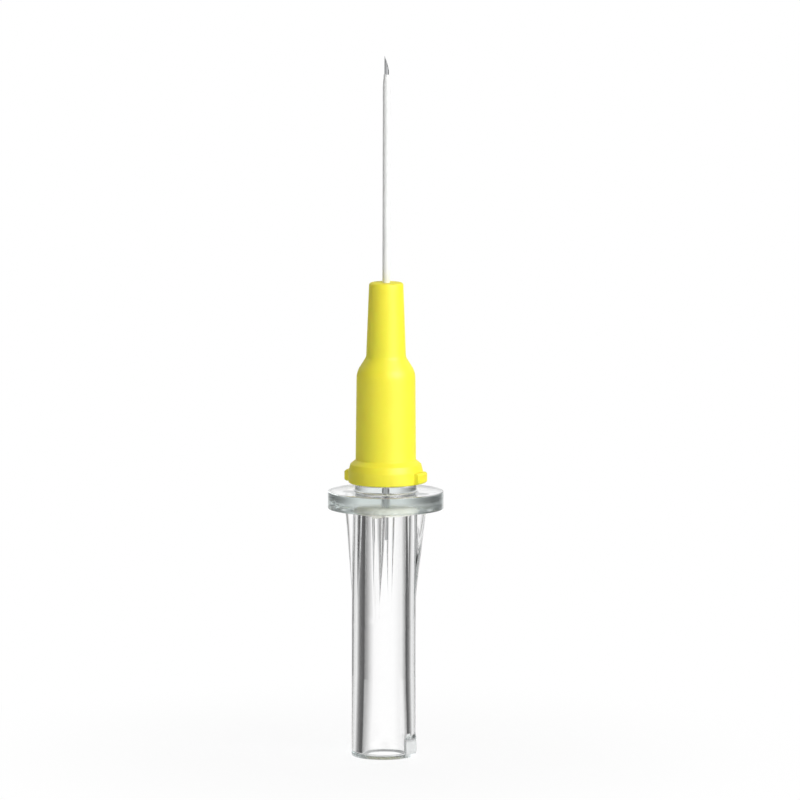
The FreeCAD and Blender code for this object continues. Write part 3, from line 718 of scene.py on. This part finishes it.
# Painted shade: this ramp colours the flange's rim grey-teal, standing in for the darker surroundings
# seen through it. The polished skin stays white and the rear end near white.
tint_and_rim_shade = add_node(tree, "ShaderNodeValToRGB", {"Fac": unpolished.outputs["Fac"]})
polished, unpolished_end = tint_and_rim_shade.color_ramp.elements
polished.position, polished.color = POLISH, linear("#FFFFFF")
unpolished_end.position, unpolished_end.color = END_GRAIN, linear("#F8FAFA")
tint_and_rim_shade.color_ramp.elements.new(RIM_GRAIN).color = linear("#D2DCDA")
clear_share = add_node(tree, "ShaderNodeMapRange", {
    "Value": unpolished.outputs["Fac"], "From Min": END_GRAIN, "From Max": PAD_GRAIN,
    "To Min": 1.0, "To Max": 1 - FROSTED_SHARE})
plastic = add_node(tree, "ShaderNodeBsdfPrincipled", {
    "Base Color": tint_and_rim_shade.outputs["Color"],
    "Roughness": unpolished.outputs["Fac"],
    "IOR": 1.585,
    "Transmission Weight": clear_share.outputs["Result"],
    "Normal": waves.outputs["Normal"],
})
ray = add_node(tree, "ShaderNodeLightPath")
trapped = add_node(tree, "ShaderNodeMath", {
    0: ray.outputs["Glossy Depth"], 1: MOST_REFLECTIONS}, operation="GREATER_THAN")
straight = add_node(tree, "ShaderNodeMath", {
    0: ray.outputs["Is Shadow Ray"], 1: trapped.outputs[0]}, operation="MAXIMUM")
loss = add_node(tree, "ShaderNodeMix", {
    "Factor": trapped.outputs[0],
    COLOUR_A: linear("#F2F4F4"), COLOUR_B: linear("#B4B9B9")}, data_type="RGBA")
passed = add_node(tree, "ShaderNodeBsdfTransparent", {"Color": loss.outputs[COLOUR_RESULT]})
show(tree, add_node(tree, "ShaderNodeMixShader", {
    0: straight.outputs[0], 1: plastic.outputs[0], 2: passed.outputs[0]}))

# %% [markdown]
# ## Yellow polypropylene
# The yellow hub is polypropylene with a strong opaque pigment, moulded in a finely blasted cavity. It
# looks satin: broad soft highlights, a slight glow where light enters the skin and comes out again,
# and faint flow marks.

# %% Yellow polypropylene
tree = new_finish("satin_moulded_polypropylene", yellow_hub)
place = add_node(tree, "ShaderNodeTexCoord")
blasted = add_node(tree, "ShaderNodeTexNoise", {
    "Vector": place.outputs["Object"], "Scale": per_mm(0.12), "Detail": 3.0})
cloudy = add_node(tree, "ShaderNodeTexNoise", {
    "Vector": place.outputs["Object"], "Scale": per_mm(3.0), "Detail": 2.0})
pigment = add_node(tree, "ShaderNodeMix", {
    "Factor": cloudy.outputs["Fac"],
    COLOUR_A: linear("#F8EC1C"), COLOUR_B: linear("#FCF028")}, data_type="RGBA")
grain = add_node(tree, "ShaderNodeBump", {
    "Height": blasted.outputs["Fac"], "Strength": 0.25, "Distance": 0.01 * MM})
show(tree, add_node(tree, "ShaderNodeBsdfPrincipled", {
    "Base Color": pigment.outputs[COLOUR_RESULT],
    "Roughness": 0.5,
    "IOR": 1.49,
    "Specular IOR Level": 1.0,
    "Subsurface Weight": 0.35,
    "Subsurface Radius": (1.0, 0.55, 0.1),
    "Subsurface Scale": 0.8 * MM,
    "Normal": grain.outputs["Normal"],
}))

# %% [markdown]
# ## Needle steel
# The needle is stainless steel, drawn through dies and then ground. Drawing leaves very fine lines
# along it, so its highlight is a thin bright streak with a soft edge.

# %% Needle steel
tree = new_finish("drawn_stainless_steel", steel_needle)
place = add_node(tree, "ShaderNodeTexCoord")
drawn = add_node(tree, "ShaderNodeMapping", {
    "Vector": place.outputs["Object"], "Scale": (1, 1, 0.02)})
lines = add_node(tree, "ShaderNodeTexNoise", {
    "Vector": drawn.outputs["Vector"], "Scale": per_mm(0.05), "Detail": 2.0})
streaks = add_node(tree, "ShaderNodeBump", {
    "Height": lines.outputs["Fac"], "Strength": 0.2, "Distance": 0.004 * MM})
show(tree, add_node(tree, "ShaderNodeBsdfPrincipled", {
    "Base Color": linear("#B9BABC"),
    "Metallic": 1.0,
    "Roughness": 0.28,
    "Normal": streaks.outputs["Normal"],
}))

# %% [markdown]
# ## Wedge steel
# The wedge is pressed from thin stainless sheet. Deep drawing roughens the sheet's skin all over,
# like the skin of an orange, and leaves no lines.

# %% Wedge steel
tree = new_finish("deep_drawn_stainless_steel", wedge)
place = add_node(tree, "ShaderNodeTexCoord")
orange_peel = add_node(tree, "ShaderNodeTexNoise", {
    "Vector": place.outputs["Object"], "Scale": per_mm(0.15), "Detail": 2.0})
peel = add_node(tree, "ShaderNodeBump", {
    "Height": orange_peel.outputs["Fac"], "Strength": 0.3, "Distance": 0.01 * MM})
show(tree, add_node(tree, "ShaderNodeBsdfPrincipled", {
    "Base Color": linear("#C2C3C4"),
    "Metallic": 1.0,
    "Roughness": 0.3,
    "Normal": peel.outputs["Normal"],
}))

# %% [markdown]
# ## Fluoropolymer
# The soft tube is a milky fluoropolymer, extruded and slippery. Light sinks into it and spreads, so
# its shaded side is pale grey and not dark, and its surface has a soft waxy shine.

# %% Fluoropolymer
tree = new_finish("extruded_milky_fluoropolymer", soft_tube)
place = add_node(tree, "ShaderNodeTexCoord")
pulled = add_node(tree, "ShaderNodeMapping", {
    "Vector": place.outputs["Object"], "Scale": (1, 1, 0.05)})
draw_marks = add_node(tree, "ShaderNodeTexNoise", {
    "Vector": pulled.outputs["Vector"], "Scale": per_mm(0.2), "Detail": 2.0})
skin = add_node(tree, "ShaderNodeBump", {
    "Height": draw_marks.outputs["Fac"], "Strength": 0.2, "Distance": 0.005 * MM})
show(tree, add_node(tree, "ShaderNodeBsdfPrincipled", {
    "Base Color": linear("#F4F5F3"),
    "Roughness": 0.35,
    "IOR": 1.35,
    "Subsurface Weight": 0.6,
    "Subsurface Radius": (1.0, 1.0, 1.0),
    "Subsurface Scale": 0.2 * MM,
    "Normal": skin.outputs["Normal"],
}))

# %% [markdown]
# ## Cured adhesive
# The glue is a clear resin that cures with fine bubbles and flow lines in it, so it is milky in
# places. Light goes through it but doesn't stay sharp.

# %% Cured adhesive
tree = new_finish("cured_cloudy_resin", adhesive)
place = add_node(tree, "ShaderNodeTexCoord")
swirl = add_node(tree, "ShaderNodeTexNoise", {
    "Vector": place.outputs["Object"], "Scale": per_mm(0.7), "Detail": 4.0, "Distortion": 1.2})
veil = add_node(tree, "ShaderNodeMix", {
    "Factor": swirl.outputs["Fac"],
    COLOUR_A: linear("#F8F6E8"), COLOUR_B: linear("#FDFDFA")}, data_type="RGBA")
rough = add_node(tree, "ShaderNodeMapRange", {
    "Value": swirl.outputs["Fac"], "From Min": 0.35, "From Max": 0.65, "To Min": 0.12, "To Max": 0.5})
lumps = add_node(tree, "ShaderNodeBump", {
    "Height": swirl.outputs["Fac"], "Strength": 0.6, "Distance": 0.06 * MM})
show(tree, add_node(tree, "ShaderNodeBsdfPrincipled", {
    "Base Color": veil.outputs[COLOUR_RESULT],
    "Roughness": rough.outputs["Result"],
    "IOR": 1.5,
    "Transmission Weight": 0.1,
    "Normal": lumps.outputs["Normal"],
}))

# %% [markdown]
# ## Studio
# The object was photographed against pure white with soft light from the right. Clear plastic shows
# what is behind and beside it, so the surroundings matter as much as the lamps: a photographer hangs
# dark cards at the sides of a white backdrop to give clear objects dark edges. Here the world does
# that. It is white where the camera looks at it. Where it is seen through plastic or in a reflection
# it has a bright window behind the object, a wide soft fill on the camera's side and dark cards
# between the two, and it is white overhead and underneath. Near the horizon four narrow windows open
# in the cards, so that a level view from the side also looks at light. Steep views, which look from
# between the sides, get four wide windows turned by an eighth of a circle. Matt surfaces see none of
# this, only a soft even light.

# %% World
WINDOW_TURN = math.radians(98.5)
WINDOW_POWER = 8.0
WINDOW_GAIN = 1.25
FILL_GAIN = 1.25
DARK_CARD = 0.08
NARROW_EDGES = (0.4, 0.95)
WIDE_EDGES = (-1.0, 0.6)
LEVEL_RING = (0.1, 0.125)
STEEP_RING = (0.19, 0.21)
OVERHEAD = (0.5, 0.75)
OVERHEAD_LIGHT = 0.9
WINDOWS_ROUND = 4
SOFT_LIGHT = 0.28

world = bpy.data.worlds.new("studio")
world.use_nodes = True
bpy.context.scene.world = world
tree = world.node_tree
tree.nodes.clear()
direction = add_node(tree, "ShaderNodeTexCoord")
parts = add_node(tree, "ShaderNodeSeparateXYZ", {"Vector": direction.outputs["Generated"]})
turn = add_node(tree, "ShaderNodeMath", {
    0: parts.outputs["Y"], 1: parts.outputs["X"]}, operation="ARCTAN2")
steepness = add_node(tree, "ShaderNodeMath", {0: parts.outputs["Z"]}, operation="ABSOLUTE")
steep = add_node(tree, "ShaderNodeMapRange", {
    "Value": steepness.outputs[0], "From Min": STEEP_RING[0], "From Max": STEEP_RING[1]})
overhead = add_node(tree, "ShaderNodeMapRange", {
    "Value": steepness.outputs[0], "From Min": OVERHEAD[0], "From Max": OVERHEAD[1]})

facing = add_node(tree, "ShaderNodeMath", {0: turn.outputs[0], 1: -WINDOW_TURN}, operation="ADD")
toward = add_node(tree, "ShaderNodeMath", {0: facing.outputs[0]}, operation="COSINE")
ahead = add_node(tree, "ShaderNodeMath", {0: toward.outputs[0], 1: 0.0}, operation="MAXIMUM")
spread = add_node(tree, "ShaderNodeMath", {0: ahead.outputs[0], 1: WINDOW_POWER}, operation="POWER")
window = add_node(tree, "ShaderNodeMath", {
    0: spread.outputs[0], 1: WINDOW_GAIN, 2: DARK_CARD}, operation="MULTIPLY_ADD", use_clamp=True)
fill = add_node(tree, "ShaderNodeMath", {
    0: toward.outputs[0], 1: -FILL_GAIN, 2: DARK_CARD}, operation="MULTIPLY_ADD", use_clamp=True)

quarters = add_node(tree, "ShaderNodeMath", {
    0: facing.outputs[0], 1: WINDOWS_ROUND}, operation="MULTIPLY")
turned_on = add_node(tree, "ShaderNodeMath", {
    0: steep.outputs["Result"], 1: math.pi, 2: quarters.outputs[0]}, operation="MULTIPLY_ADD")
wave = add_node(tree, "ShaderNodeMath", {0: turned_on.outputs[0]}, operation="COSINE")
opening = add_node(tree, "ShaderNodeMapRange", {
    "Value": steepness.outputs[0], "From Min": LEVEL_RING[0], "From Max": LEVEL_RING[1],
    "To Min": 1.0, "To Max": DARK_CARD})
narrow = add_node(tree, "ShaderNodeMapRange", {
    "Value": wave.outputs[0], "From Min": NARROW_EDGES[0], "From Max": NARROW_EDGES[1],
    "To Min": DARK_CARD, "To Max": opening.outputs["Result"]}, interpolation_type="SMOOTHSTEP")
wide = add_node(tree, "ShaderNodeMapRange", {
    "Value": wave.outputs[0], "From Min": WIDE_EDGES[0], "From Max": WIDE_EDGES[1],
    "To Min": DARK_CARD})

front_and_back = add_node(tree, "ShaderNodeMath", {
    0: window.outputs[0], 1: fill.outputs[0]}, operation="MAXIMUM")
level_cards = add_node(tree, "ShaderNodeMath", {
    0: front_and_back.outputs[0], 1: narrow.outputs["Result"]}, operation="MAXIMUM")
side_cards = add_node(tree, "ShaderNodeMix", {
    "Factor": steep.outputs["Result"],
    VALUE_A: level_cards.outputs[0], VALUE_B: wide.outputs["Result"]})
cards = add_node(tree, "ShaderNodeMix", {
    "Factor": overhead.outputs["Result"], VALUE_A: side_cards.outputs[0], VALUE_B: OVERHEAD_LIGHT})
ray = add_node(tree, "ShaderNodeLightPath")
through = add_node(tree, "ShaderNodeMath", {
    0: ray.outputs["Is Transmission Ray"], 1: ray.outputs["Is Glossy Ray"]}, operation="MAXIMUM")
lit = add_node(tree, "ShaderNodeMix", {
    "Factor": through.outputs[0], VALUE_A: SOFT_LIGHT, VALUE_B: cards.outputs[0]})
seen = add_node(tree, "ShaderNodeMix", {
    "Factor": ray.outputs["Is Camera Ray"], VALUE_A: lit.outputs[0], VALUE_B: 1.0})
background = add_node(tree, "ShaderNodeBackground", {
    "Color": linear("#FFFFFF"), "Strength": seen.outputs[0]})
add_node(tree, "ShaderNodeOutputWorld", {"Surface": background.outputs[0]})

# %% [markdown]
# The floor is a pale disc. Near the object a part of what the camera sees is real paint, which takes
# a faint shadow, and it fades to plain white before the camera can see where the disc ends. Plastic
# and steel look past it into the world.

# %% Floor
FLOOR_RADIUS = 1500
FADE_START = 4
FADE_END = 45
LEAST_FADE = 0.82
FLOOR_STEPS = 96


def floor_mesh():
    """A flat disc in one face: its corners are the radius times the cosine and the sine of even
    angles."""
    angle = np.linspace(0, 2 * math.pi, FLOOR_STEPS, endpoint=False)
    points = np.stack([np.cos(angle), np.sin(angle), 0 * angle], axis=1) * FLOOR_RADIUS * MM
    mesh = bpy.data.meshes.new("floor")
    mesh.from_pydata(points.tolist(), [], [list(range(FLOOR_STEPS))])
    return mesh


floor = bpy.data.objects.new("floor", floor_mesh())
bpy.context.scene.collection.objects.link(floor)
floor.visible_transmission = False
floor.visible_glossy = False

tree = new_finish("pale_studio_paint", floor)
place = add_node(tree, "ShaderNodeTexCoord")
distance = add_node(tree, "ShaderNodeVectorMath", {0: place.outputs["Object"]}, operation="LENGTH")
fade = add_node(tree, "ShaderNodeMapRange", {
    "Value": distance.outputs["Value"], "From Min": FADE_START * MM, "From Max": FADE_END * MM,
    "To Min": LEAST_FADE}, interpolation_type="SMOOTHSTEP")
ray = add_node(tree, "ShaderNodeLightPath")
shown = add_node(tree, "ShaderNodeMath", {
    0: fade.outputs["Result"], 1: ray.outputs["Is Camera Ray"]}, operation="MULTIPLY")
paint = add_node(tree, "ShaderNodeBsdfDiffuse", {"Color": linear("#F8F8F8")})
white = add_node(tree, "ShaderNodeEmission", {"Color": linear("#FFFFFF"), "Strength": 1.0})
show(tree, add_node(tree, "ShaderNodeMixShader", {
    0: shown.outputs[0], 1: paint.outputs[0], 2: white.outputs[0]}))

# %% [markdown]
# Three softboxes light the surface itself. The key stands to the camera's right, and a weak one
# overhead keeps the shoulders from going dull. The third stands behind the object and lights only the
# sides that the photograph doesn't show. None of them is seen through the plastic, and the one behind
# isn't mirrored in it either.

# %% Lamps
KEY_TURN = 46
KEY_RISE = 28
KEY_LEVEL = 0.88
TOP_RISE = 88
TOP_DISTANCE = 450
TOP_SIZE = 400
TOP_LEVEL = 0.05
BACK_TURN = 180
BACK_RISE = 25
BACK_LEVEL = 0.35
SOFTBOX_DISTANCE = 500
SOFTBOX_SIZE = 320


def add_softbox(name, turn_right, rise, distance, side, level):
    """A square lamp aimed at the object, turned to the camera's right. Its power in watts is the
    level times pi squared times the distance squared, which lights a white surface that faces it to
    that level."""
    lamp_data = bpy.data.lights.new(name, "AREA")
    lamp_data.size = side * MM
    lamp_data.energy = level * math.pi ** 2 * (distance * MM) ** 2
    lamp = bpy.data.objects.new(name, lamp_data)
    bpy.context.scene.collection.objects.link(lamp)
    turn, lift = VIEW_TURN + math.radians(turn_right), math.radians(rise)
    away = np.array([math.sin(turn) * math.cos(lift), -math.cos(turn) * math.cos(lift), math.sin(lift)])
    lamp.location = np.array([0, 0, AIM_HEIGHT]) + away * distance * MM
    lamp.rotation_euler = (math.pi / 2 - lift, 0, turn)
    lamp.visible_transmission = False
    print(f"{name}: {lamp_data.energy:.2f} W at {distance} mm")
    return lamp


add_softbox("key_softbox", KEY_TURN, KEY_RISE, SOFTBOX_DISTANCE, SOFTBOX_SIZE, KEY_LEVEL)
add_softbox("top_softbox", 0, TOP_RISE, TOP_DISTANCE, TOP_SIZE, TOP_LEVEL)
back_softbox = add_softbox(
    "back_softbox", BACK_TURN, BACK_RISE, SOFTBOX_DISTANCE, SOFTBOX_SIZE, BACK_LEVEL)
back_softbox.visible_glossy = False
